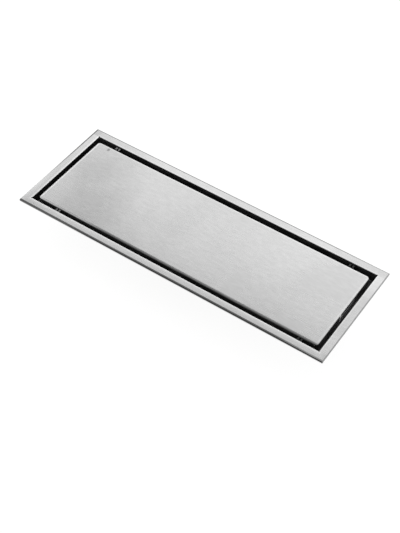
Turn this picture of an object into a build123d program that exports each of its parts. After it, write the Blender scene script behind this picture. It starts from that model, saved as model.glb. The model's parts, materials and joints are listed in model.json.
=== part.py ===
from build123d import *
import os

# Tile-insert floor drain in millimetres. +Z is up, +X runs along the long side and -Y is the front.
# The origin is the centre of the outlet's lower end, on which the drain stands.

# Rim frame: one folded sheet, with a turned-down lip outside and four walls inside the opening.
# The sheet is grooved behind each fold, so the folds are almost sharp outside.
flange_length = 300.0
flange_width = 110.0
flange_border = 7.3
frame_sheet = 1.2
frame_fold = 0.4
lip_height = 2.6
wall_depth = 10.0
relief_radius = 0.5
relief_depth = 3.0

# Cover: a shallow folded tray, laid with its plain face up. Turned over, it takes a tile.
# It lies loose between the clips, a little to the front of the middle.
side_gap = 4.7
end_gap = 3.9
cover_shift = 0.55
cover_sheet = 1.2
cover_height = 8.5
cover_corner = 3.0
cover_bend = 1.5

# Support clips: bent strips on the long walls. The forked tab keeps the gap, the ledge holds the cover.
clip_sheet = 1.0
clip_bend = 1.3
clip_width = 4.5
clip_end_inset = 22.8
front_clip_shift = 4.0
clip_drop = 1.2
clip_clearance = 0.85
tab_fork = 1.4
ledge_reach = 8.0

# Drain pan: a hipped sheet that falls from the frame's walls to a square land round the outlet.
pan_sheet = 1.2
pan_fall = 7.5
land_size = 72.0
seat_width = 7.5

# Outlet spigot: a tube welded under the seat, sized for a 50 mm push-fit socket.
spigot_diameter = 50.0
spigot_wall = 1.5
spigot_length = 22.8
lead_in_height = 2.0
lead_in_depth = 0.8
weld_leg = 1.5

# Water-seal trap: a dip tube that drops into the seat, with a cup hung on its ribs.
seal_thickness = 1.5
seal_clearance = 0.4
trap_flange = 2.0
trap_flange_clearance = 0.6
trap_wall = 1.6
dip_bore = 22.0
funnel_mouth = 40.0
funnel_depth = 8.0
cup_diameter = 38.0
cup_wall = 1.5
cup_bevel = 1.0
cup_end_clearance = 1.3
dip_clearance = 5.0
overflow_gap = 6.5
rib_count = 3
rib_thickness = 2.0
rib_clearance = 0.15
rib_overlap = 8.0
rib_stand = 2.0
lug_reach = 1.0
lug_height = 2.0
lug_rise = 1.0
window_clearance = 0.4

# Hair strainer: a disc with a raised middle full of six-sided holes, its rim in the trap's rebate.
strainer_sheet = 0.8
strainer_clearance = 0.3
strainer_rim = 3.0
strainer_step = 1.2
hole_width = 3.8
hole_pitch = 5.5
hole_rings = 3

# Levels, from the outlet's lower end up to the finished floor.
pan_underside = spigot_length
seat_floor = pan_underside + pan_sheet
seal_top = seat_floor + seal_thickness
land_level = seal_top + trap_flange
margin_level = land_level + pan_fall
flange_top = margin_level + wall_depth
ledge_level = flange_top - cover_height
rebate_floor = land_level - strainer_sheet
cup_floor = cup_end_clearance + cup_wall
dip_end = cup_floor + dip_clearance
cup_rim = seal_top - overflow_gap
lug_bottom = cup_rim - rib_overlap + lug_rise
lug_top = lug_bottom + lug_height

# Plan sizes that several pieces share.
opening_length = flange_length - 2 * flange_border
opening_width = flange_width - 2 * flange_border
spigot_radius = spigot_diameter / 2
outlet_radius = spigot_radius - spigot_wall
seat_radius = outlet_radius + seat_width
cup_radius = cup_diameter / 2
cup_bore_radius = cup_radius - cup_wall
trap_flange_radius = seat_radius - trap_flange_clearance
funnel_radius = funnel_mouth / 2
strainer_seat_radius = funnel_radius + strainer_rim + strainer_clearance


def frame_section():
    """The folded frame's section: x outwards from the wall's inner face, y up from the flange's top."""
    lip_inside = flange_border - frame_sheet
    outline = Polyline((0, -wall_depth), (0, 0), (flange_border, 0), (flange_border, -lip_height),
                       (lip_inside, -lip_height), (lip_inside, -frame_sheet), (frame_sheet, -frame_sheet),
                       (frame_sheet, -wall_depth), close=True)
    section = make_face(outline)
    return fillet(section.vertices().group_by(Axis.Y)[-1], frame_fold)


def rim_frame():
    """Half the frame is its section carried along three walls with mitred corners, then mirrored."""
    half_x = opening_length / 2
    half_y = opening_width / 2
    path = Polyline((0, -half_y, flange_top), (half_x, -half_y, flange_top),
                    (half_x, half_y, flange_top), (0, half_y, flange_top))
    start = Plane(origin=(0, -half_y, flange_top), x_dir=(0, -1, 0), z_dir=(-1, 0, 0))
    half = sweep(start * frame_section(), path=path, transition=Transition.RIGHT)
    frame = half + mirror(half, about=Plane.YZ)
    relief = Cylinder(relief_radius, relief_depth, align=(Align.CENTER, Align.CENTER, Align.MAX))
    for side in (-1, 1):
        for end in (-1, 1):
            frame -= Pos(end * half_x, side * half_y, flange_top) * relief
    return frame


def cover_block(inset):
    """The tray's outline as a block with rounded corners, drawn in by the inset on its top and sides."""
    length = opening_length - 2 * end_gap - 2 * inset
    width = opening_width - 2 * side_gap - 2 * inset
    block = Box(length, width, cover_height - inset, align=(Align.CENTER, Align.CENTER, Align.MIN))
    return Pos(0, -cover_shift, ledge_level) * fillet(block.edges().filter_by(Axis.Z), cover_corner - inset)


def cover_tray():
    """The folded tray, open underneath."""
    outside = cover_block(0)
    outside = fillet(outside.faces().sort_by(Axis.Z)[-1].edges(), cover_bend)
    return outside - cover_block(cover_sheet)


def clip_section():
    """Section of a support clip: x inwards from the frame's wall, y up from the flange's top."""
    tab_end = side_gap - clip_clearance
    ledge_end = side_gap + ledge_reach
    tab_underside = -clip_drop - clip_sheet
    ledge_underside = -cover_height - clip_sheet
    outline = Polyline((0, -clip_drop), (tab_end, -clip_drop), (tab_end, tab_underside),
                       (clip_sheet, tab_underside), (clip_sheet, -cover_height), (ledge_end, -cover_height),
                       (ledge_end, ledge_underside), (0, ledge_underside), close=True)
    section = make_face(outline)
    columns = section.vertices().group_by(Axis.X)
    section = fillet(columns[1], clip_bend - clip_sheet)
    return fillet(section.vertices().group_by(Axis.X)[0], clip_bend)


def support_clip(x, side):
    """One clip on the front wall (side -1) or the back wall (side 1), centred at x, its tab forked."""
    foot = (x, side * opening_width / 2, flange_top)
    wall = Plane(origin=foot, x_dir=(0, -side, 0), z_dir=(-side, 0, 0))
    clip = extrude(wall * clip_section(), clip_width / 2, both=True)
    fork_length = side_gap - clip_clearance - clip_bend
    fork = Rectangle(fork_length, clip_sheet, align=(Align.MIN, Align.MAX))
    fork = Pos(clip_bend, -clip_drop) * fork
    return clip - extrude(wall * fork, tab_fork / 2, both=True)


def wedge(plane, top_level, top_size, depth):
    """A block with two sloped sides, narrowing to the land over the pan's fall."""
    foot_level = top_level - pan_fall
    outline = Polyline((-top_size / 2, top_level), (top_size / 2, top_level),
                       (land_size / 2, foot_level), (-land_size / 2, foot_level), close=True)
    return extrude(make_face(plane * outline), depth / 2, both=True)


def hopper(top_level):
    """The space over the pan's four slopes, where a long wedge and a cross wedge meet."""
    long_wedge = wedge(Plane.XZ, top_level, opening_length, opening_width)
    cross_wedge = wedge(Plane.YZ, top_level, opening_width, opening_length)
    return long_wedge & cross_wedge


def upright(radius, low, high):
    """A plain upright cylinder between two levels."""
    return Pos(0, 0, low) * Cylinder(radius, high - low, align=(Align.CENTER, Align.CENTER, Align.MIN))


def drain_pan():
    """The hipped sheet with its weld margin under the walls, the drawn seat and the outlet hole."""
    outer_length = opening_length + 2 * frame_sheet
    outer_width = opening_width + 2 * frame_sheet
    margin = Box(outer_length, outer_width, pan_sheet, align=(Align.CENTER, Align.CENTER, Align.MAX))
    pan = Pos(0, 0, margin_level) * margin + hopper(margin_level - pan_sheet) - hopper(margin_level)
    pan += upright(seat_radius + pan_sheet, pan_underside, land_level)
    pan -= upright(seat_radius, seat_floor, land_level)
    return pan - upright(outlet_radius, pan_underside, seat_floor)


def turned(points):
    """A solid of revolution about the outlet's axis, from points given as radius and level."""
    return revolve(make_face(Plane.XZ * Polyline(*points, close=True)), axis=Axis.Z)


def outlet_spigot():
    """The outlet tube, with a tapered lead-in below and its weld fillet under the seat."""
    return turned([(outlet_radius, 0), (spigot_radius - lead_in_depth, 0),
                   (spigot_radius, lead_in_height), (spigot_radius, pan_underside - weld_leg),
                   (spigot_radius + weld_leg, pan_underside), (outlet_radius, pan_underside)])


def trap_seal_ring():
    """The flat rubber ring between the seat and the trap's flange."""
    inner = outlet_radius + seal_clearance
    outer = seat_radius - seal_clearance
    return turned([(inner, seat_floor), (outer, seat_floor), (outer, seal_top), (inner, seal_top)])


def trap_dip_tube():
    """The trap's funnel and tube, with ribs whose lugs carry the cup."""
    bore = dip_bore / 2
    funnel_end = rebate_floor - funnel_depth
    tube = turned([(strainer_seat_radius, land_level), (trap_flange_radius, land_level),
                   (trap_flange_radius, seal_top), (funnel_radius, seal_top),
                   (bore + trap_wall, funnel_end), (bore + trap_wall, dip_end),
                   (bore, dip_end), (bore, funnel_end),
                   (funnel_radius, rebate_floor), (strainer_seat_radius, rebate_floor)])
    rib_start = bore + trap_wall / 2
    rib_align = (Align.MIN, Align.CENTER, Align.MIN)
    rib_length = cup_bore_radius - rib_clearance - rib_start
    rib = Box(rib_length, rib_thickness, rib_overlap + rib_stand, align=rib_align)
    rib = Pos(rib_start, 0, cup_rim - rib_overlap) * rib
    lug_length = cup_bore_radius + lug_reach - rib_start
    lug = Box(lug_length, rib_thickness, lug_height, align=rib_align)
    rib += Pos(rib_start, 0, lug_bottom) * lug
    for turn in range(rib_count):
        tube += Rot(0, 0, turn * 360 / rib_count) * rib
    return tube


def trap_cup():
    """The cup that holds the water seal, hung by the upper edges of its windows."""
    cup = upright(cup_radius, cup_end_clearance, cup_rim)
    cup = chamfer(cup.faces().sort_by(Axis.Z)[0].edges(), cup_bevel)
    cup -= upright(cup_bore_radius, cup_floor, cup_rim)
    window_width = rib_thickness + 2 * window_clearance
    window_height = lug_height + window_clearance
    window = Box(cup_radius, window_width, window_height, align=(Align.MIN, Align.CENTER, Align.MAX))
    window = Pos(dip_bore / 2, 0, lug_top) * window
    for turn in range(rib_count):
        cup -= Rot(0, 0, turn * 360 / rib_count) * window
    return cup


def hair_strainer():
    """The perforated disc: a flat rim, a drawn step and a raised middle full of holes."""
    rim_radius = funnel_radius + strainer_rim
    middle_radius = funnel_radius - strainer_step
    under = rebate_floor
    over = under + strainer_sheet
    disc = turned([(rim_radius, under), (rim_radius, over), (funnel_radius, over),
                   (middle_radius, over + strainer_step), (0, over + strainer_step),
                   (0, under + strainer_step), (middle_radius, under + strainer_step),
                   (funnel_radius, under)])
    hexagon = RegularPolygon(hole_width / 2, 6, major_radius=False, rotation=30)
    hole = extrude(Plane.XY.offset(under) * hexagon, strainer_sheet + strainer_step)
    holes = [hole]
    for ring in range(1, hole_rings + 1):
        for step in range(6 * ring):
            turn = step * 60 / ring
            holes.append(Rot(0, 0, turn) * Pos(ring * hole_pitch, 0, 0) * hole)
    return disc - holes


def all_pieces():
    """Every piece of the drain, by name."""
    pieces = {
        "rim_frame": rim_frame(),
        "cover_tray": cover_tray(),
        "drain_pan": drain_pan(),
        "outlet_spigot": outlet_spigot(),
        "trap_seal_ring": trap_seal_ring(),
        "trap_dip_tube": trap_dip_tube(),
        "trap_cup": trap_cup(),
        "hair_strainer": hair_strainer(),
    }
    clip_reach = opening_length / 2 - clip_end_inset
    for row, side, shift in (("front", -1, front_clip_shift), ("back", 1, 0.0)):
        for end, sign in (("left", -1), ("right", 1)):
            pieces[f"support_clip_{row}_{end}"] = support_clip(sign * clip_reach + shift, side)
    return pieces


os.makedirs("parts", exist_ok=True)
for name, piece in all_pieces().items():
    export_step(piece, f"parts/{name}.step")
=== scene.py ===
import json
import math

import bpy
from mathutils import Matrix, Vector

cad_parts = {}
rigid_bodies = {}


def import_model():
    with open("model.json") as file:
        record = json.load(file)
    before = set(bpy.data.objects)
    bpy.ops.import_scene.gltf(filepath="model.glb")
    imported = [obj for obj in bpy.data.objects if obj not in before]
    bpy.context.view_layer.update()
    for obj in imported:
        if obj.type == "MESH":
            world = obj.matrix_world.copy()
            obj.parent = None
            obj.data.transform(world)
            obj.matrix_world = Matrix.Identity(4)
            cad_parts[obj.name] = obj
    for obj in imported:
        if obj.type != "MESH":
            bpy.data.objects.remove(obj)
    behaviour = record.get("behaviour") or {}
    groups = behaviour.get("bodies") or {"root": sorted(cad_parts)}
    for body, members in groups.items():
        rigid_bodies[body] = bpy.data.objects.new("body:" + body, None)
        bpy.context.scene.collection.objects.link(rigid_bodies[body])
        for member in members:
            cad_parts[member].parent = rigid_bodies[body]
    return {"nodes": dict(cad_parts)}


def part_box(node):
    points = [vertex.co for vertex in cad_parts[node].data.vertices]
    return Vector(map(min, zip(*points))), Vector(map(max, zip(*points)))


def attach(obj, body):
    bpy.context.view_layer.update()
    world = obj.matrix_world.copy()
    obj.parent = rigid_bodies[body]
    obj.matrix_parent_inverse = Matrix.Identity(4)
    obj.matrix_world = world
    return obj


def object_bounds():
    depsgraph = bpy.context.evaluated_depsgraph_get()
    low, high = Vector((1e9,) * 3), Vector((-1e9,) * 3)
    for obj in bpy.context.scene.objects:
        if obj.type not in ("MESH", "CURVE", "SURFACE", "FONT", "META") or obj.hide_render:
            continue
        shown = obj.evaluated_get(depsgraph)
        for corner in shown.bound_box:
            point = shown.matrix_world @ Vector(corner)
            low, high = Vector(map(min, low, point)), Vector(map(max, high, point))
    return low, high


for leftover in list(bpy.data.objects):
    bpy.data.objects.remove(leftover)
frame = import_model()
cad_box = [list(corner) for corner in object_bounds()]
nodes = frame["nodes"]

MM = 0.001

# Sizes that come from the frame, and two sheet sizes that its boxes don't give.
FRAME_LOW, FRAME_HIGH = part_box("rim_frame")
COVER_LOW, COVER_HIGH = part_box("cover_tray")
_, PAN_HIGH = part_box("drain_pan")
_, SPIGOT_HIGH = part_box("outlet_spigot")
FRAME_SHEET = 1.2 * MM
LIP_HEIGHT = 2.6 * MM
FLANGE_TOP = FRAME_HIGH.z
LIP_BOTTOM = FLANGE_TOP - LIP_HEIGHT
WALL_X = PAN_HIGH.x
WALL_Y = PAN_HIGH.y
OPENING_X = WALL_X - FRAME_SHEET
OPENING_Y = WALL_Y - FRAME_SHEET
SEAM_LEVEL = FRAME_LOW.z
CLIP_NAMES = sorted(name for name in nodes if name.startswith("support_clip"))

# Finishes, as linear grey levels and one heat colour; the gap, lip and end-line levels are painted shade.
BRIGHT_STEEL = 0.535
FLANGE_STEEL = 0.598
MILL_STEEL = 0.43
GAP_SHADE = 0.085
LIP_SHADE = 0.025
END_LINE_SHADE = 0.12
RIGHT_END_SHADE = 0.3
STRAW_TINT = (0.6, 0.52, 0.4, 1.0)

# The usual range of a noise, and the ranges of a normal in which a face becomes an underside or an end.
NOISE_RANGE = (0.3, 0.7)
UNDERSIDE = (-0.3, -0.7)
END_FACE = (0.5, 0.9)

# The sockets of a Mix node for numbers and for colours: factor, first, second and result.
NUMBER_SOCKETS = (0, 2, 3, 0)
COLOUR_SOCKETS = (0, 6, 7, 2)


class Shade:
    """Short ways to write the nodes of one material or world."""

    def __init__(self, tree):
        self.tree = tree

    def node(self, kind, inputs=None, **settings):
        """A new node with its settings; an input that is a socket is linked, any other is set."""
        made = self.tree.nodes.new(kind)
        for key, value in settings.items():
            setattr(made, key, value)
        for key, value in (inputs or {}).items():
            self.put(made.inputs[key], value)
        return made

    def put(self, socket, value):
        """Links a socket to this input, or sets the input's own value."""
        if isinstance(value, bpy.types.NodeSocket):
            self.tree.links.new(value, socket)
        else:
            socket.default_value = value

    def math(self, operation, first, second=0.0, clamp=False):
        """One arithmetic step."""
        made = self.node("ShaderNodeMath", {0: first, 1: second}, operation=operation)
        made.use_clamp = clamp
        return made.outputs[0]

    def product(self, *factors):
        """All the factors multiplied."""
        result = factors[0]
        for factor in factors[1:]:
            result = self.math("MULTIPLY", result, factor)
        return result

    def total(self, *terms):
        """All the terms added."""
        result = terms[0]
        for term in terms[1:]:
            result = self.math("ADD", result, term)
        return result

    def ramp(self, value, low, high, start=0.0, end=1.0):
        """A smooth step from start at low to end at high."""
        made = self.node("ShaderNodeMapRange", {"Value": value, "From Min": low, "From Max": high,
                                                "To Min": start, "To Max": end})
        made.interpolation_type = "SMOOTHSTEP"
        return made.outputs["Result"]

    def between(self, kind, sockets, factor, first, second):
        """A Mix node of that kind of data, with its factor, first and second inputs and its output."""
        factor_in, first_in, second_in, result = sockets
        inputs = {factor_in: factor, first_in: first, second_in: second}
        made = self.node("ShaderNodeMix", inputs, data_type=kind)
        return made.outputs[result]

    def mix(self, factor, first, second):
        """A blend of two colours."""
        return self.between("RGBA", COLOUR_SOCKETS, factor, first, second)

    def blend(self, factor, first, second):
        """A blend of two numbers."""
        return self.between("FLOAT", NUMBER_SOCKETS, factor, first, second)

    def place(self):
        """The point on the object, and its three parts."""
        point = self.node("ShaderNodeTexCoord").outputs["Object"]
        parts = self.node("ShaderNodeSeparateXYZ", {0: point}).outputs
        return point, parts[0], parts[1], parts[2]

    def facing(self):
        """The three parts of the surface's normal."""
        normal = self.node("ShaderNodeTexCoord").outputs["Normal"]
        return self.node("ShaderNodeSeparateXYZ", {0: normal}).outputs

    def scaled(self, point, scale):
        """The point stretched by three factors."""
        made = self.node("ShaderNodeVectorMath", {0: point, 1: scale}, operation="MULTIPLY")
        return made.outputs[0]

    def noise(self, point, scale, detail=3.0, roughness=0.55):
        """A noise between 0 and 1; a triple scale stretches it."""
        if isinstance(scale, tuple):
            point = self.scaled(point, scale)
            scale = 1.0
        made = self.node("ShaderNodeTexNoise", {"Vector": point, "Scale": scale, "Detail": detail,
                                                "Roughness": roughness})
        return made.outputs["Fac"]

    def spread(self, noise, low, high):
        """A noise stretched so that its usual range runs from low to high."""
        return self.ramp(noise, *NOISE_RANGE, low, high)

    def grey(self, value):
        """A neutral colour of that level."""
        return self.node("ShaderNodeCombineColor", {0: value, 1: value, 2: value}).outputs[0]

    def bump(self, height, distance, strength):
        """A bumped normal."""
        made = self.node("ShaderNodeBump", {"Height": height, "Distance": distance, "Strength": strength})
        return made.outputs["Normal"]


def new_material(name, **constants):
    """A Principled material with the constant inputs set on its own sockets."""
    material = bpy.data.materials.new(name)
    material.use_nodes = True
    shader = material.node_tree.nodes["Principled BSDF"]
    for key, value in constants.items():
        shader.inputs[key.replace("_", " ")].default_value = value
    return material, shader, Shade(material.node_tree)


def put_on(name, material):
    """Gives a CAD node its material."""
    nodes[name].data.materials[0] = material


# Brushing along X: noise rates per metre, and each layer's share of the grey level and of the relief.
# A relief is a depth and a strength.
BAND_RATE = (130.0, 380.0, 380.0)
LINE_RATE = (25.0, 1500.0, 1500.0)
HAIR_RATE = (28.0, 5200.0, 5200.0)
FILM_RATE = 17.0
BAND_SHARE = 0.125
LINE_SHARE = 0.04
HAIR_SHARE = 0.03
LINE_HEIGHT = 0.6
HAIR_HEIGHT = 0.4
FILM_RANGE = (0.35, 0.7)
BRUSH_ROUGHNESS = (0.21, 0.27)
LINE_ROUGHNESS = 0.06
BRUSH_RELIEF = (0.012 * MM, 0.5)
BRUSH_ANISOTROPY = 0.45

# Scratches: turn and rate across, and the noise levels at which a line and a scratched patch begin.
LONG_SCRATCH = (0.35, 2400.0)
CROSS_SCRATCH = (-0.9, 2100.0)
SCRATCH_LENGTH_RATE = 7.0
SCRATCH_LEVELS = (0.735, 0.76)
SCRATCHED_PATCH_RATE = 38.0
SCRATCHED_PATCH_LEVELS = (0.55, 0.68)
SCRATCH_SHARE = 0.04
SCRATCH_HEIGHT = 0.8


def scratches(s, point, turn, rate):
    """A few thin hairlines at a slant, 0 on most of the surface."""
    turned = s.node("ShaderNodeVectorRotate", {"Vector": point, "Angle": turn}, rotation_type="Z_AXIS")
    lines = s.noise(turned.outputs[0], (SCRATCH_LENGTH_RATE, rate, rate), detail=1.0, roughness=0.4)
    patches = s.noise(point, SCRATCHED_PATCH_RATE, detail=1.0)
    return s.product(s.ramp(lines, *SCRATCH_LEVELS), s.ramp(patches, *SCRATCHED_PATCH_LEVELS))


def brushed_level(s, point, level):
    """Grey level, roughness and height of a brushed surface with a faint film and scratches."""
    bands = s.noise(point, BAND_RATE)
    lines = s.noise(point, LINE_RATE)
    hairs = s.noise(point, HAIR_RATE)
    film = s.noise(point, FILM_RATE, detail=4.0)
    long_lines = scratches(s, point, *LONG_SCRATCH)
    cross_lines = scratches(s, point, *CROSS_SCRATCH)
    scratched = s.math("ADD", long_lines, cross_lines, clamp=True)
    base = level - (BAND_SHARE + LINE_SHARE + HAIR_SHARE) / 2
    tone = s.total(base, s.product(bands, BAND_SHARE), s.product(lines, LINE_SHARE),
                   s.product(hairs, HAIR_SHARE), s.product(scratched, -SCRATCH_SHARE))
    rough = s.total(s.ramp(film, *FILM_RANGE, *BRUSH_ROUGHNESS), s.product(lines, LINE_ROUGHNESS))
    height = s.total(s.product(lines, LINE_HEIGHT), s.product(hairs, HAIR_HEIGHT),
                     s.product(scratched, -SCRATCH_HEIGHT))
    return tone, rough, height


def put_brushing(s, shader, height):
    """The brushed relief, and the direction across the brushing that stretches the reflections."""
    s.put(shader.inputs["Normal"], s.bump(height, *BRUSH_RELIEF))
    s.put(shader.inputs["Tangent"], s.node("ShaderNodeCombineXYZ", {1: 1.0}).outputs[0])


# Stains, and the painted shade on the walls in the gap; the stains also mark the mill-finished backs.
STAIN_RATE = (60.0, 60.0, 240.0)
GAP_STAIN_RANGE = (0.3, 0.75)
GAP_STAIN_SPREAD = 2.2
GAP_ROUGHNESS = 0.5


def stains(s, point):
    """The stain pattern of the folded sheets."""
    return s.noise(point, STAIN_RATE, detail=4.0)


def gap_shade_level(s, stain):
    """Painted shade of a wall in the gap, uneven with the stains."""
    return s.ramp(stain, *GAP_STAIN_RANGE, GAP_SHADE, GAP_STAIN_SPREAD * GAP_SHADE)


def depth_shade(s, z, shade_start, shade_full):
    """How deep the painted shade on a wall has set in: 0 at the first depth below the flange's top, 1 at
    the second.
    """
    return s.ramp(z, FLANGE_TOP - shade_start, FLANGE_TOP - shade_full)


def patch(s, x, y, centre, reach):
    """A soft oval patch: 1 at its centre, 0 at its reach in X and Y."""
    across = s.math("DIVIDE", s.math("SUBTRACT", x, centre[0]), reach[0])
    along = s.math("DIVIDE", s.math("SUBTRACT", y, centre[1]), reach[1])
    return s.ramp(s.math("ADD", s.product(across, across), s.product(along, along)), 1.0, 0.0)


def band(s, value, centre, half):
    """A soft band: 1 in its inner half, 0 at its half width."""
    return s.ramp(s.math("ABSOLUTE", s.math("SUBTRACT", value, centre)), half, half / 2)


# Patches of painted shade and painted light on the cover, and a dent: centre and reach in X and Y, and what
# each takes from the grey level.
SHADE_PATCH = ((-0.101, -0.016), (0.044, 0.066), 0.08)
BACK_SHADE_PATCH = ((-0.136, 0.034), (0.05, 0.05), 0.06)
FRONT_SHADE_PATCH = ((-0.068, -0.04), (0.032, 0.024), 0.026)
LEFT_LIGHT_PATCH = ((-0.139, -0.03), (0.026, 0.042), -0.052)
MIDDLE_LIGHT_PATCH = ((0.034, 0.012), (0.06, 0.11), -0.025)
DENT = ((-0.1254, 0.0386), (0.0017, 0.0024), 0.23)
SHADE_PATCH_RATE = 45.0
SHADE_PATCH_THINNEST = 0.75

# The cover's edges: painted highlights by their distances from the edge, and painted shade on the front
# fold.
EDGE_HIGHLIGHT = 0.1
COVER_HIGHLIGHT_RUN = (2.6 * MM, 1.2 * MM)
LEFT_EDGE = 0.4
LEFT_EDGE_RUN = (2.8 * MM, 0.9 * MM)
FOLD_SHADE = 0.18
FOLD_WIDTH = 2.5 * MM
FOLD_SHADE_START = (-0.095, -0.065)

# Painted shade on the cover's walls by depth, lighter on the two end walls, and the mill finish inside the
# tray.
COVER_SHADE_DEPTHS = (0.25 * MM, 0.9 * MM)
END_WALL_FACING = (0.4, 0.8)
END_WALL_LIFT = 1.8
TRAY_INSIDE = (0.42, 0.52)

# Lime on the cover's right-hand wall: two streaks along it and a drip across it.
STREAK_MIDDLE = 0.004
STREAK_HALF = 0.016
STREAK_THICKNESS = 0.8
STREAK_TONE = 0.75
UPPER_STREAK_DROP = 3.4 * MM
UPPER_STREAK_HALF = 1.3 * MM
LOWER_STREAK_RISE = 1.0 * MM
LOWER_STREAK_HALF = 1.0 * MM
DRIP_MIDDLE = -0.0068
DRIP_HALF = 0.0013


def mark(s, x, y, centre, reach, depth):
    """What one soft mark takes from the grey level."""
    return s.product(patch(s, x, y, centre, reach), depth)


def cover_marks(s, point, x, y):
    """What the painted shade and light patches and the dent take from the cover's grey level."""
    uneven = s.spread(s.noise(point, SHADE_PATCH_RATE), SHADE_PATCH_THINNEST, 1.0)
    shade_patch = s.product(mark(s, x, y, *SHADE_PATCH), uneven)
    others = [mark(s, x, y, *place) for place in (BACK_SHADE_PATCH, FRONT_SHADE_PATCH, LEFT_LIGHT_PATCH, MIDDLE_LIGHT_PATCH, DENT)]
    return s.total(shade_patch, *others)


def cover_edges(s, x, y):
    """A painted highlight along the cover's left, right and back edges."""
    border = s.math("MINIMUM", s.math("SUBTRACT", COVER_HIGH.x, s.math("ABSOLUTE", x)),
                    s.math("SUBTRACT", COVER_HIGH.y, y))
    edge_highlight = s.ramp(border, *COVER_HIGHLIGHT_RUN, 0.0, EDGE_HIGHLIGHT)
    left = s.ramp(s.math("ADD", x, COVER_HIGH.x), *LEFT_EDGE_RUN, 0.0, LEFT_EDGE)
    return s.math("MAXIMUM", left, edge_highlight)


def fold_shade(s, x, y):
    """Painted shade on the front fold: 1 on the plate, darker over the fold except at its left end."""
    darkest = s.ramp(x, *FOLD_SHADE_START, 1.0, FOLD_SHADE)
    return s.ramp(y, COVER_LOW.y + FOLD_WIDTH, COVER_LOW.y, 1.0, darkest)


def wall_streaks(s, normal, y, z):
    """Two pale lime streaks and a drip on the cover's right-hand wall: 1 where the lime is thick."""
    upper = band(s, z, FLANGE_TOP - UPPER_STREAK_DROP, UPPER_STREAK_HALF)
    lower = band(s, z, COVER_LOW.z + LOWER_STREAK_RISE, LOWER_STREAK_HALF)
    along = band(s, y, STREAK_MIDDLE, STREAK_HALF)
    streaks = s.product(s.math("MAXIMUM", upper, lower), along, STREAK_THICKNESS)
    drip = band(s, y, DRIP_MIDDLE, DRIP_HALF)
    return s.product(s.ramp(normal[0], *END_FACE), s.math("MAXIMUM", streaks, drip))


def cover_material():
    """Brushed plate with painted light and shade on it and on its walls, and a mill finish inside the tray.
    """
    material, shader, s = new_material("brushed_cover", Anisotropic=BRUSH_ANISOTROPY)
    point, x, y, z = s.place()
    normal = s.facing()
    tone, rough, height = brushed_level(s, point, BRIGHT_STEEL)
    # Patches of painted shade and painted light, and the dent.
    tone = s.math("SUBTRACT", tone, cover_marks(s, point, x, y))
    # Painted highlights along the cover's edges.
    tone = s.math("ADD", tone, cover_edges(s, x, y))
    # Painted shade on the front fold.
    tone = s.product(tone, fold_shade(s, x, y))
    stain = stains(s, point)
    # Painted shade on the walls in the gap, deeper below the flange's top and lighter on the end walls.
    end_wall = s.ramp(s.math("ABSOLUTE", normal[0]), *END_WALL_FACING, 1.0, END_WALL_LIFT)
    wall_tone = s.product(gap_shade_level(s, stain), end_wall)
    streaks = wall_streaks(s, normal, y, z)
    dull_and_shade = depth_shade(s, z, *COVER_SHADE_DEPTHS)
    tone = s.blend(dull_and_shade, tone, s.blend(streaks, wall_tone, STREAK_TONE))
    inside = s.ramp(normal[2], *UNDERSIDE)
    tone = s.blend(inside, tone, s.spread(stain, *TRAY_INSIDE))
    s.put(shader.inputs["Base Color"], s.grey(tone))
    s.put(shader.inputs["Metallic"], s.math("SUBTRACT", 1.0, s.product(streaks, dull_and_shade)))
    s.put(shader.inputs["Roughness"], s.blend(dull_and_shade, rough, GAP_ROUGHNESS))
    put_brushing(s, shader, height)
    return material


# The painted shade of the flange's outer line, by its distances from the edge. The left one fades towards
# the front, and the line of the ends shows on top only at the right.
END_LINE = (0.9 * MM, 0.6 * MM)
BACK_LINE = (1.0 * MM, 0.7 * MM)
FRONT_LINE = (1.7 * MM, 1.2 * MM)
LEFT_LINE = (1.5 * MM, 1.0 * MM)
LEFT_LINE_FADE = (-0.025, 0.035)
RIGHT_HALF = (0.0, 0.1)

# The lip's painted shade: grain, a lighter left end, a paler right end, and a bright foot by its height
# over the bottom.
LIP_RATE = (25.0, 25.0, 3000.0)
LIP_SPREAD = (0.7, 1.3)
LIP_LEFT_LIFT = 0.07
LIP_LEFT_RUN = (-0.06, -0.12)
RIGHT_END = (0.1, 0.14)
FOOT_RUN = (1.15 * MM, 0.55 * MM)
FOOT_LIFT = 0.8

# The flange: painted highlights along its inner edges and painted light and shade along its sides, by their
# distances from the opening and places along it.
SIDE_BLEND = 0.5 * MM
INNER_HIGHLIGHT_RUN = (1.6 * MM, 0.4 * MM)
FRONT_EDGE = 0.07
FRONT_EDGE_RUN = (2.6 * MM, 0.6 * MM)
FRONT_FALL = 0.05
FRONT_FALL_RUN = (1.5 * MM, 6.0 * MM)
LEFT_BLEND = 1.0 * MM
LEFT_RUN = (0.05, -0.05)
LEFT_FALL = 0.04
LEFT_LIFT = 0.012
LEFT_INNER_EDGE = 0.08
LEFT_INNER_RUN = (2.2 * MM, 0.6 * MM)
LEFT_OUTER_EDGE = 0.1
LEFT_OUTER_RUN = (5.0 * MM, 1.0 * MM)
LEFT_OUTER_FADE = (0.0, -0.035)
BACK_FALL = 0.025
BACK_END_FALL = 0.09
BACK_FALL_RUN = (0.07, 0.135)
RIGHT_SHADE_MIDDLE = 0.0
RIGHT_SHADE_HALF = 0.035
RIGHT_SHADE_DEPTH = 0.075

# The frame's walls: painted shade and a rougher finish inside the opening, mill-finished outside and
# underneath.
FRAME_SHADE_DEPTHS = (0.15 * MM, 0.6 * MM)
INWARD = (0.2, 0.6)
OUTWARD = (0.3, 0.6)
LIP_CLEARANCE = 0.2 * MM
FRAME_BACK = (0.32, 0.42)
BACK_ROUGHNESS = 0.42


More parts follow.
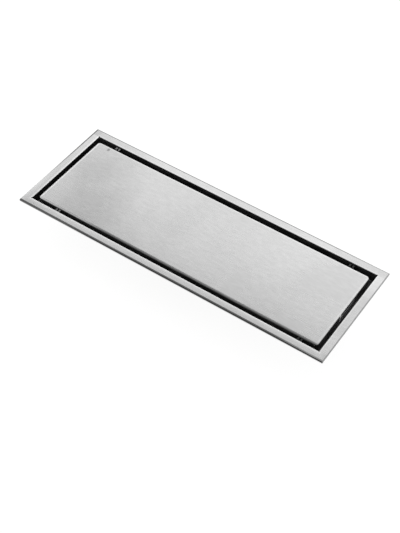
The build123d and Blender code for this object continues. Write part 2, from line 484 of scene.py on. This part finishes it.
def outer_lines(s, normal, x, y):
    """Where the painted shade of the flange's outer line and the lip's faces lies: 1 on them, 0 elsewhere.
    """
    ends = s.ramp(s.math("SUBTRACT", FRAME_HIGH.x, s.math("ABSOLUTE", x)), *END_LINE)
    end_face = s.ramp(s.math("ABSOLUTE", normal[0]), *END_FACE)
    ends = s.product(ends, s.math("MAXIMUM", end_face, s.ramp(x, *RIGHT_HALF)))
    left = s.ramp(s.math("SUBTRACT", x, FRAME_LOW.x), *LEFT_LINE)
    left = s.product(left, s.ramp(y, *LEFT_LINE_FADE))
    back = s.ramp(s.math("SUBTRACT", FRAME_HIGH.y, y), *BACK_LINE)
    front = s.ramp(s.math("SUBTRACT", y, FRAME_LOW.y), *FRONT_LINE)
    return s.math("MAXIMUM", s.math("MAXIMUM", ends, left), s.math("MAXIMUM", back, front))


def lip_shade_level(s, point, normal, x, z):
    """Painted shade of the outer line and the lip: grainy and dark, lighter at the ends and along the foot.
    """
    raw = s.noise(point, LIP_RATE)
    end = s.ramp(x, *RIGHT_END, END_LINE_SHADE, RIGHT_END_SHADE)
    front = s.spread(raw, LIP_SPREAD[0] * LIP_SHADE, LIP_SPREAD[1] * LIP_SHADE)
    front = s.math("ADD", front, s.ramp(x, *LIP_LEFT_RUN, 0.0, LIP_LEFT_LIFT))
    level = s.blend(s.math("ABSOLUTE", normal[1]), end, front)
    return s.math("ADD", level, s.ramp(s.math("SUBTRACT", z, LIP_BOTTOM), *FOOT_RUN, 0.0, FOOT_LIFT))


def flange_light_and_shade(s, x, y):
    """What painted highlights and painted shade add to the grey level of the flange's four sides."""
    span_x = s.math("ABSOLUTE", x)
    border = s.math("MAXIMUM", s.math("SUBTRACT", span_x, OPENING_X),
                    s.math("SUBTRACT", s.math("ABSOLUTE", y), OPENING_Y))
    front = s.ramp(y, SIDE_BLEND - OPENING_Y, -OPENING_Y)
    back = s.ramp(y, OPENING_Y - SIDE_BLEND, OPENING_Y)
    left = s.ramp(x, SIDE_BLEND - OPENING_X, -OPENING_X)
    right = s.ramp(x, OPENING_X - SIDE_BLEND, OPENING_X)
    left_flat = s.ramp(x, -OPENING_X, -OPENING_X - LEFT_BLEND)
    left_outer = s.ramp(s.math("SUBTRACT", x, FRAME_LOW.x), *LEFT_OUTER_RUN, 0.0, LEFT_OUTER_EDGE)
    right_shade = band(s, y, RIGHT_SHADE_MIDDLE, RIGHT_SHADE_HALF)
    return s.total(
        s.ramp(border, *INNER_HIGHLIGHT_RUN, 0.0, EDGE_HIGHLIGHT),
        s.product(front, s.ramp(border, *FRONT_EDGE_RUN, 0.0, FRONT_EDGE)),
        s.product(front, s.ramp(border, *FRONT_FALL_RUN, 0.0, -FRONT_FALL)),
        s.product(left_flat, s.ramp(y, *LEFT_RUN, -LEFT_FALL, LEFT_LIFT)),
        s.product(left, s.ramp(border, *LEFT_INNER_RUN, 0.0, LEFT_INNER_EDGE)),
        s.product(left_outer, s.ramp(y, *LEFT_OUTER_FADE)),
        s.product(back, s.ramp(span_x, *BACK_FALL_RUN, -BACK_FALL, -BACK_END_FALL)),
        s.product(right, right_shade, -RIGHT_SHADE_DEPTH))


def frame_material():
    """Brushed flange with painted light and shade, painted shade on the walls and lip, mill-finished backs.
    """
    material, shader, s = new_material("brushed_frame", Metallic=1.0, Anisotropic=BRUSH_ANISOTROPY)
    point, x, y, z = s.place()
    normal = s.facing()
    tone, rough, height = brushed_level(s, point, FLANGE_STEEL)
    # Painted highlights and painted light and shade on the flange.
    tone = s.math("ADD", tone, flange_light_and_shade(s, x, y))
    outward_x = s.product(normal[0], s.math("SIGN", x))
    outward_y = s.product(normal[1], s.math("SIGN", y))
    inward = s.product(s.math("MINIMUM", outward_x, outward_y), -1.0)
    outward = s.math("MAXIMUM", outward_x, outward_y)
    # Painted shade on the walls inside the opening, deeper below the flange's top; they are also rougher
    # there.
    dull_and_shade = s.product(depth_shade(s, z, *FRAME_SHADE_DEPTHS), s.ramp(inward, *INWARD))
    outer_wall = s.product(s.ramp(outward, *OUTWARD), s.ramp(z, LIP_BOTTOM, LIP_BOTTOM - LIP_CLEARANCE))
    back = s.math("MAXIMUM", s.ramp(normal[2], *UNDERSIDE), outer_wall)
    stain = stains(s, point)
    tone = s.blend(dull_and_shade, tone, gap_shade_level(s, stain))
    tone = s.blend(back, tone, s.spread(stain, *FRAME_BACK))
    # Painted shade on the flange's outer line and the lip.
    tone = s.blend(outer_lines(s, normal, x, y), tone, lip_shade_level(s, point, normal, x, z))
    s.put(shader.inputs["Base Color"], s.grey(tone))
    s.put(shader.inputs["Roughness"], s.blend(dull_and_shade, s.blend(back, rough, BACK_ROUGHNESS), GAP_ROUGHNESS))
    put_brushing(s, shader, height)
    return material


# The pan: rolling grain, stains, painted shade on top, and the reach of the heat colour beside the welds.
PAN_STAIN_RATE = 30.0
ROLL_RATE = (20.0, 900.0, 900.0)
ROLL_SHARE = 0.08
ROLL_HEIGHT = 0.5
PAN_TONES = (MILL_STEEL - 0.08, MILL_STEEL)
PAN_ROUGHNESS = (0.34, 0.46)
PAN_RELIEF = (0.02 * MM, 0.5)
UPPER_FACING = (0.1, 0.5)
UPPER_STAIN_RANGE = (0.3, 0.72)
UPPER_SHADE_TONES = (0.07, 0.2)
UPPER_ROUGHNESS = 0.5
RING_HEAT_RUN = (5.5 * MM, 1.0 * MM)
EDGE_HEAT_RUN = (3.5 * MM, 0.3 * MM)
HEAT_RANGE = (0.25, 0.6)
PAN_HEAT = (0.45, 0.9)


def pan_heat(s, x, y, stain):
    """How far the welds have coloured the pan, round the outlet and along its margin."""
    radius = s.math("SQRT", s.math("ADD", s.product(x, x), s.product(y, y)))
    from_ring = s.math("ABSOLUTE", s.math("SUBTRACT", radius, SPIGOT_HIGH.x))
    from_edge = s.math("MINIMUM", s.math("SUBTRACT", WALL_X, s.math("ABSOLUTE", x)),
                       s.math("SUBTRACT", WALL_Y, s.math("ABSOLUTE", y)))
    near = s.math("MAXIMUM", s.ramp(from_ring, *RING_HEAT_RUN), s.ramp(from_edge, *EDGE_HEAT_RUN))
    return s.product(near, s.ramp(stain, *HEAT_RANGE, *PAN_HEAT))


def pan_material():
    """Mill-finished sheet with painted shade on its upper side, straw-coloured near the welds underneath.
    """
    material, shader, s = new_material("mill_pan", Metallic=1.0)
    point, x, y, _ = s.place()
    # Painted shade on the pan's upper side, uneven with the stains.
    upper_side = s.ramp(s.facing()[2], *UPPER_FACING)
    stain = s.noise(point, PAN_STAIN_RATE, detail=6.0, roughness=0.6)
    roll = s.noise(point, ROLL_RATE)
    dry_tone = s.math("ADD", s.spread(stain, *PAN_TONES), s.product(roll, ROLL_SHARE))
    upper_shade_tone = s.ramp(stain, *UPPER_STAIN_RANGE, *UPPER_SHADE_TONES)
    colour = s.mix(pan_heat(s, x, y, stain), s.grey(dry_tone), STRAW_TINT)
    height = s.math("ADD", s.product(roll, ROLL_HEIGHT), stain)
    s.put(shader.inputs["Base Color"], s.mix(upper_side, colour, s.grey(upper_shade_tone)))
    s.put(shader.inputs["Roughness"], s.blend(upper_side, s.spread(stain, *PAN_ROUGHNESS), UPPER_ROUGHNESS))
    s.put(shader.inputs["Normal"], s.bump(height, *PAN_RELIEF))
    return material


# The tube: drawing rings, stains, and the heat colour by its depth below the upper end.
DRAWING_RATE = (30.0, 30.0, 4200.0)
DRAWING_SHARE = 0.1
DRAWING_ROUGHNESS = 0.08
DRAWING_RELIEF = (0.015 * MM, 0.5)
TUBE_STAIN_RATE = 55.0
TUBE_TONES = (MILL_STEEL - 0.06, MILL_STEEL + 0.02)
TUBE_ROUGHNESS = (0.26, 0.36)
TUBE_HEAT_RUN = (7.0 * MM, 1.0 * MM)
TUBE_HEAT = (0.5, 0.9)


def spigot_material():
    """Drawn tube: fine rings round the axis, and straw heat colour below the weld."""
    material, shader, s = new_material("mill_tube", Metallic=1.0)
    point, _, _, z = s.place()
    rings = s.noise(point, DRAWING_RATE)
    stain = s.noise(point, TUBE_STAIN_RATE, detail=5.0)
    tone = s.math("ADD", s.spread(stain, *TUBE_TONES), s.product(rings, DRAWING_SHARE))
    near_weld = s.ramp(s.math("SUBTRACT", SPIGOT_HIGH.z, z), *TUBE_HEAT_RUN)
    heat = s.product(near_weld, s.ramp(stain, *HEAT_RANGE, *TUBE_HEAT))
    rough = s.math("ADD", s.spread(stain, *TUBE_ROUGHNESS), s.product(rings, DRAWING_ROUGHNESS))
    s.put(shader.inputs["Base Color"], s.mix(heat, s.grey(tone), STRAW_TINT))
    s.put(shader.inputs["Roughness"], rough)
    s.put(shader.inputs["Normal"], s.bump(rings, *DRAWING_RELIEF))
    return material


# The strainer: fine scuffs and lime.
SCUFF_RATE = (120.0, 900.0, 900.0)
SCUFF_SHARE = 0.06
SCUFF_RELIEF = (0.01 * MM, 0.4)
LIME_RATE = 160.0
LIME_RANGE = (0.35, 0.7)
LIME_TONES = (0.6, 0.72)
ROUGH_LIME_RANGE = (0.35, 0.75)
STRAINER_ROUGHNESS = (0.18, 0.38)


def strainer_material():
    """Polished thin sheet with fine scuffs and a little lime in patches."""
    material, shader, s = new_material("polished_strainer", Metallic=1.0)
    point = s.place()[0]
    scuffs = s.noise(point, SCUFF_RATE)
    lime = s.noise(point, LIME_RATE, detail=5.0)
    tone = s.math("ADD", s.ramp(lime, *LIME_RANGE, *LIME_TONES), s.product(scuffs, SCUFF_SHARE))
    s.put(shader.inputs["Base Color"], s.grey(tone))
    s.put(shader.inputs["Roughness"], s.ramp(lime, *ROUGH_LIME_RANGE, *STRAINER_ROUGHNESS))
    s.put(shader.inputs["Normal"], s.bump(scuffs, *SCUFF_RELIEF))
    return material


# The clips: grain, spots, the darker right-hand ones, and painted shade by depth below the flange's top.
CLIP_GRAIN_RATE = (1800.0, 90.0, 90.0)
CLIP_GRAIN_SHARE = 0.06
CLIP_RELIEF = (0.012 * MM, 0.5)
CLIP_SPOT_RATE = 420.0
CLIP_TONES = (0.08, 0.15)
CLIP_ROUGHNESS = (0.24, 0.4)
CLIP_RIGHT_DARK = 0.22
CLIP_RIGHT_RUN = (-0.05, 0.05)
CLIP_SHADE_DEPTHS = (2.6 * MM, 5.5 * MM)
CLIP_SHADE_TONE = 0.03


def clip_material():
    """Strip with its rolling grain, darker at the right, and painted shade where it hangs deep in the gap.
    """
    material, shader, s = new_material("clip_strip", Metallic=1.0)
    point, x, _, z = s.place()
    grain = s.noise(point, CLIP_GRAIN_RATE)
    spots = s.noise(point, CLIP_SPOT_RATE, detail=4.0)
    tone = s.math("ADD", s.spread(spots, *CLIP_TONES), s.product(grain, CLIP_GRAIN_SHARE))
    # Darker towards the right-hand clips.
    tone = s.product(tone, s.ramp(x, *CLIP_RIGHT_RUN, 1.0, CLIP_RIGHT_DARK))
    # Painted shade where the clip hangs deep in the gap.
    tone = s.blend(depth_shade(s, z, *CLIP_SHADE_DEPTHS), tone, CLIP_SHADE_TONE)
    s.put(shader.inputs["Base Color"], s.grey(tone))
    s.put(shader.inputs["Roughness"], s.spread(spots, *CLIP_ROUGHNESS))
    s.put(shader.inputs["Normal"], s.bump(grain, *CLIP_RELIEF))
    return material


# The trap's plastic: spark texture and flow marks.
SPARK_RATE = 3200.0
SPARK_ROUGHNESS = 0.08
SPARK_RELIEF = (0.02 * MM, 0.35)
FLOW_RATE = (40.0, 40.0, 110.0)
FLOW_DARK = (0.72, 0.73, 0.74, 1.0)
FLOW_PALE = (0.8, 0.81, 0.815, 1.0)
PLASTIC_ROUGHNESS = (0.36, 0.46)


def plastic_material():
    """Moulded pale plastic with a fine spark texture and faint flow marks."""
    material, shader, s = new_material("moulded_trap", Subsurface_Weight=0.05, IOR=1.49)
    point = s.place()[0]
    spark = s.noise(point, SPARK_RATE)
    flow = s.noise(point, FLOW_RATE, detail=4.0)
    rough = s.math("ADD", s.spread(flow, *PLASTIC_ROUGHNESS), s.product(spark, SPARK_ROUGHNESS))
    s.put(shader.inputs["Base Color"], s.mix(s.spread(flow, 0.0, 1.0), FLOW_DARK, FLOW_PALE))
    s.put(shader.inputs["Roughness"], rough)
    s.put(shader.inputs["Normal"], s.bump(spark, *SPARK_RELIEF))
    return material


# The seal's rubber: pores and bloom.
PORE_RATE = 2400.0
PORE_RELIEF = (0.03 * MM, 0.4)
BLOOM_RATE = 70.0
BLOOM_RANGE = (0.35, 0.75)
RUBBER_TONES = (0.025, 0.06)
RUBBER_ROUGHNESS = (0.62, 0.78)


def rubber_material():
    """Black rubber with a dusty bloom and fine pores."""
    material, shader, s = new_material("seal_black", IOR=1.52)
    point = s.place()[0]
    pores = s.noise(point, PORE_RATE)
    bloom = s.noise(point, BLOOM_RATE, detail=5.0)
    s.put(shader.inputs["Base Color"], s.grey(s.ramp(bloom, *BLOOM_RANGE, *RUBBER_TONES)))
    s.put(shader.inputs["Roughness"], s.spread(bloom, *RUBBER_ROUGHNESS))
    s.put(shader.inputs["Normal"], s.bump(pores, *PORE_RELIEF))
    return material


# The weld metal: heat colours from blue through straw to bright, and a fine grain.
BLUE_TINT = (0.34, 0.37, 0.46, 1.0)
WELD_BRIGHT = (0.66, 0.65, 0.63, 1.0)
WELD_HEAT_RATE = 320.0
STRAW_START = (0.32, 0.5)
BRIGHT_START = (0.46, 0.62)
WELD_ROUGHNESS = (0.28, 0.4)
WELD_GRAIN_RATE = 2600.0
WELD_RELIEF = (0.02 * MM, 0.4)


def weld_material():
    """Bright weld metal with straw and faint blue heat colours."""
    material, shader, s = new_material("weld_metal", Metallic=1.0)
    point = s.place()[0]
    heat = s.noise(point, WELD_HEAT_RATE)
    tint = s.mix(s.ramp(heat, *STRAW_START), BLUE_TINT, STRAW_TINT)
    s.put(shader.inputs["Base Color"], s.mix(s.ramp(heat, *BRIGHT_START), tint, WELD_BRIGHT))
    s.put(shader.inputs["Roughness"], s.spread(heat, *WELD_ROUGHNESS))
    s.put(shader.inputs["Normal"], s.bump(s.noise(point, WELD_GRAIN_RATE), *WELD_RELIEF))
    return material


def mesh_piece(name, vertices, faces, material):
    """A smooth mesh that rides with the drain."""
    mesh = bpy.data.meshes.new(name)
    mesh.from_pydata(vertices, [], faces)
    mesh.update()
    mesh.polygons.foreach_set("use_smooth", [True] * len(mesh.polygons))
    mesh.materials.append(material)
    piece = bpy.data.objects.new(name, mesh)
    bpy.context.scene.collection.objects.link(piece)
    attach(piece, "root")


# Weld beads: ripples along a bead, and the thickness and places of the beads.
UP = Vector((0, 0, 1))
BEAD_SIDES = 10
RIPPLE_STEPS = 4
RIPPLE_PITCH = 1.1 * MM
RIPPLE_START = 0.86
RIPPLE_SWELL = 0.16
RING_RADIUS = 0.95 * MM
WELD_LEG = 1.5 * MM
SEAM_RADIUS = 0.6 * MM
CORNER_RADIUS = 0.6 * MM
CORNER_DROP = 2.2 * MM
TRAY_SEAM_RADIUS = 0.22 * MM
TRAY_SEAM_INSET = 2.7 * MM
TRAY_SEAM_DROP = 1.4 * MM


def bead_rings(points, tangents, up, radius):
    """Rings of points round a path: each ripple swells slowly and drops off sharply, as weld metal does."""
    rings = []
    for index, (point, tangent) in enumerate(zip(points, tangents)):
        phase = (index % RIPPLE_STEPS) / RIPPLE_STEPS
        size = radius * (RIPPLE_START + RIPPLE_SWELL * phase)
        out = tangent.cross(up).normalized()
        ring = []
        for side in range(BEAD_SIDES):
            angle = 2 * math.pi * side / BEAD_SIDES
            ring.append(point + size * (math.cos(angle) * out + math.sin(angle) * up))
        rings.append(ring)
    return rings


def bead_mesh(rings, closed):
    """Vertices and faces of a bead from its rings; an open bead gets end caps."""
    vertices = [corner for ring in rings for corner in ring]
    faces = []
    spans = len(rings) if closed else len(rings) - 1
    for span in range(spans):
        here = span * BEAD_SIDES
        there = (span + 1) % len(rings) * BEAD_SIDES
        for side in range(BEAD_SIDES):
            after = (side + 1) % BEAD_SIDES
            faces.append((here + side, here + after, there + after, there + side))
    if not closed:
        faces.append(tuple(reversed(range(BEAD_SIDES))))
        faces.append(tuple(range(len(vertices) - BEAD_SIDES, len(vertices))))
    return vertices, faces


def spigot_bead(material):
    """The rippled fillet weld round the outlet, laid on the tube's weld leg."""
    radius = SPIGOT_HIGH.x - WELD_LEG / 2
    level = SPIGOT_HIGH.z - WELD_LEG / 2
    ripples = round(2 * math.pi * radius / RIPPLE_PITCH)
    steps = ripples * RIPPLE_STEPS
    points = []
    tangents = []
    for step in range(steps):
        angle = 2 * math.pi * step / steps
        points.append(Vector((radius * math.cos(angle), radius * math.sin(angle), level)))
        tangents.append(Vector((-math.sin(angle), math.cos(angle), 0.0)))
    vertices, faces = bead_mesh(bead_rings(points, tangents, UP, RING_RADIUS), True)
    mesh_piece("weld_bead_spigot", vertices, faces, material)


def straight_bead(name, start, end, up, radius, material):
    """A rippled bead along a straight seam."""
    run = end - start
    steps = max(2, round(run.length / RIPPLE_PITCH)) * RIPPLE_STEPS
    points = [start + run * (step / steps) for step in range(steps + 1)]
    tangents = [run.normalized()] * (steps + 1)
    vertices, faces = bead_mesh(bead_rings(points, tangents, up, radius), False)
    mesh_piece(name, vertices, faces, material)


def four_corners():
    """The name of each corner, and its sides along X and Y as signs."""
    for row, sy in (("front", -1), ("back", 1)):
        for end, sx in (("left", -1), ("right", 1)):
            yield f"{row}_{end}", sx, sy


def pan_seam(material):
    """Four beads that close the joint between the frame's walls and the pan's margin."""
    signs = ((-1, -1), (1, -1), (1, 1), (-1, 1))
    corners = [Vector((sx * WALL_X, sy * WALL_Y, SEAM_LEVEL)) for sx, sy in signs]
    for index, side in enumerate(("front", "right", "back", "left")):
        start = corners[index]
        end = corners[(index + 1) % len(corners)]
        straight_bead(f"weld_bead_{side}", start, end, UP, SEAM_RADIUS, material)


def corner_seams(material):
    """Four upright beads where the folded walls meet."""
    for corner, sx, sy in four_corners():
        foot = Vector((sx * WALL_X, sy * WALL_Y, SEAM_LEVEL))
        head = Vector((sx * WALL_X, sy * WALL_Y, FLANGE_TOP - CORNER_DROP))
        out = Vector((sx, 0, 0))
        straight_bead(f"corner_weld_{corner}", foot, head, out, CORNER_RADIUS, material)


def tray_seams(material):
    """Four fine upright seams where the cover's folded walls were closed."""
    for corner, sx, sy in four_corners():
        x = sx * (COVER_HIGH.x - TRAY_SEAM_INSET)
        y = COVER_LOW.y if sy < 0 else COVER_HIGH.y
        foot = Vector((x, y, COVER_LOW.z))
        head = Vector((x, y, COVER_HIGH.z - TRAY_SEAM_DROP))
        out = Vector((sx, 0, 0))
        straight_bead(f"tray_seam_{corner}", foot, head, out, TRAY_SEAM_RADIUS, material)


def dress():
    """Materials on the CAD pieces, and the welds."""
    put_on("cover_tray", cover_material())
    put_on("rim_frame", frame_material())
    put_on("drain_pan", pan_material())
    put_on("outlet_spigot", spigot_material())
    put_on("hair_strainer", strainer_material())
    put_on("trap_seal_ring", rubber_material())
    plastic = plastic_material()
    put_on("trap_dip_tube", plastic)
    put_on("trap_cup", plastic)
    strip = clip_material()
    for name in CLIP_NAMES:
        put_on(name, strip)
    weld = weld_material()
    spigot_bead(weld)
    pan_seam(weld)
    corner_seams(weld)
    tray_seams(weld)


# Studio: a pale floor, a pale world with a dim ceiling over the back, and two soft lamps behind the drain.
FLOOR_SIZE = 12.0
FLOOR_GREY = 0.85
FLOOR_WHITE = 0.86
SHADOW_SHARE = 0.22
HORIZON_LIGHT = 1.0
OPEN_LIGHT = 0.85
CEILING_LIGHT = 0.24
CEILING_LIFT = 0.38
CEILING_RIGHT = -0.25
CEILING_LEFT = -0.5
CEILING_START = 0.1
CEILING_FULL = 0.42
HORIZON_HEIGHT = 0.2
CEILING_HEIGHT = 0.7
KEY_PLACE = Vector((0.03, 0.66, 0.55))
KEY_SIZE = (1.5, 0.65)
KEY_POWER = 3.2
FILL_PLACE = Vector((0.0, 0.64, 0.74))
FILL_SIZE = (0.4, 0.2)
FILL_POWER = 0.075
LAMP_AIM = Vector((0.03, 0.0, 0.045))

# Camera, fitted to the corners of the flange and the cover.
CAMERA_PLACE = Vector((0.34977, -0.55479, 0.75273))
CAMERA_AIM = Vector((0.01903, -0.02889, 0.045))
CAMERA_ROLL = math.radians(2.503)
CAMERA_LENS = 77.759
CAMERA_NEAR = 0.01
SENSOR = 36.0


def floor_material():
    """White with a soft shadow to the camera and in the metal, pale to other light, clear from below."""
    material = bpy.data.materials.new("floor_white")
    material.use_nodes = True
    tree = material.node_tree
    tree.nodes.remove(tree.nodes["Principled BSDF"])
    s = Shade(tree)
    paths = s.node("ShaderNodeLightPath").outputs
    seen = s.math("MAXIMUM", s.math("MAXIMUM", paths["Is Camera Ray"], paths["Is Glossy Ray"]),
                  paths["Is Transmission Ray"])
    diffuse = s.node("ShaderNodeBsdfDiffuse", {"Color": (FLOOR_GREY, FLOOR_GREY, FLOOR_GREY, 1.0)})
    shaded = s.node("ShaderNodeBsdfDiffuse", {"Color": (SHADOW_SHARE, SHADOW_SHARE, SHADOW_SHARE, 1.0)})
    white = s.node("ShaderNodeEmission", {"Color": (1.0, 1.0, 1.0, 1.0), "Strength": FLOOR_WHITE})
    pale = s.node("ShaderNodeAddShader", {0: shaded.outputs[0], 1: white.outputs[0]})
    surface = s.node("ShaderNodeMixShader", {0: seen, 1: diffuse.outputs[0], 2: pale.outputs[0]})
    below = s.node("ShaderNodeNewGeometry").outputs["Backfacing"]
    clear = s.node("ShaderNodeBsdfTransparent")
    one_sided = s.node("ShaderNodeMixShader", {0: below, 1: surface.outputs[0], 2: clear.outputs[0]})
    s.put(tree.nodes["Material Output"].inputs["Surface"], one_sided.outputs[0])
    return material


def floor():
    """A wide floor at the level of the drain's lowest point."""
    mesh = bpy.data.meshes.new("floor")
    half = FLOOR_SIZE / 2
    low = cad_box[0][2]
    corners = [(-half, -half, low), (half, -half, low), (half, half, low), (-half, half, low)]
    mesh.from_pydata(corners, [], [(0, 1, 2, 3)])
    mesh.materials.append(floor_material())
    plane = bpy.data.objects.new("floor", mesh)
    bpy.context.scene.collection.objects.link(plane)


def world():
    """Pale light from all round, with a dim ceiling over the back."""
    sky = bpy.data.worlds.new("studio")
    bpy.context.scene.world = sky
    sky.use_nodes = True
    s = Shade(sky.node_tree)
    direction = s.node("ShaderNodeTexCoord").outputs["Generated"]
    parts = s.node("ShaderNodeSeparateXYZ", {0: direction}).outputs
    ceiling = s.ramp(parts[0], CEILING_RIGHT, CEILING_LEFT, CEILING_LIGHT, CEILING_LIFT)
    overhead = s.ramp(parts[1], CEILING_START, CEILING_FULL, OPEN_LIGHT, ceiling)
    level = s.ramp(parts[2], HORIZON_HEIGHT, CEILING_HEIGHT, HORIZON_LIGHT, overhead)
    s.put(sky.node_tree.nodes["Background"].inputs["Color"], s.grey(level))


def softbox(name, place, size, power):
    """A rectangular soft lamp that faces the drain."""
    lamp = bpy.data.lights.new(name, "AREA")
    lamp.shape = "RECTANGLE"
    lamp.size, lamp.size_y = size
    lamp.energy = power
    holder = bpy.data.objects.new(name, lamp)
    holder.location = place
    holder.rotation_euler = (LAMP_AIM - place).to_track_quat("-Z", "Y").to_euler()
    bpy.context.scene.collection.objects.link(holder)


def camera():
    """The camera of the photograph."""
    lens = bpy.data.cameras.new("camera")
    lens.lens = CAMERA_LENS
    lens.sensor_width = SENSOR
    lens.sensor_fit = "AUTO"
    lens.clip_start = CAMERA_NEAR
    holder = bpy.data.objects.new("camera", lens)
    turn = (CAMERA_AIM - CAMERA_PLACE).to_track_quat("-Z", "Y").to_matrix().to_4x4()
    roll = Matrix.Rotation(CAMERA_ROLL, 4, "Z")
    holder.matrix_world = Matrix.Translation(CAMERA_PLACE) @ turn @ roll
    bpy.context.scene.collection.objects.link(holder)
    bpy.context.scene.camera = holder


def studio():
    """Floor, light and camera."""
    floor()
    world()
    softbox("key", KEY_PLACE, KEY_SIZE, KEY_POWER)
    softbox("fill", FILL_PLACE, FILL_SIZE, FILL_POWER)
    camera()
    bpy.context.scene.view_settings.view_transform = "Standard"


dress()
studio()
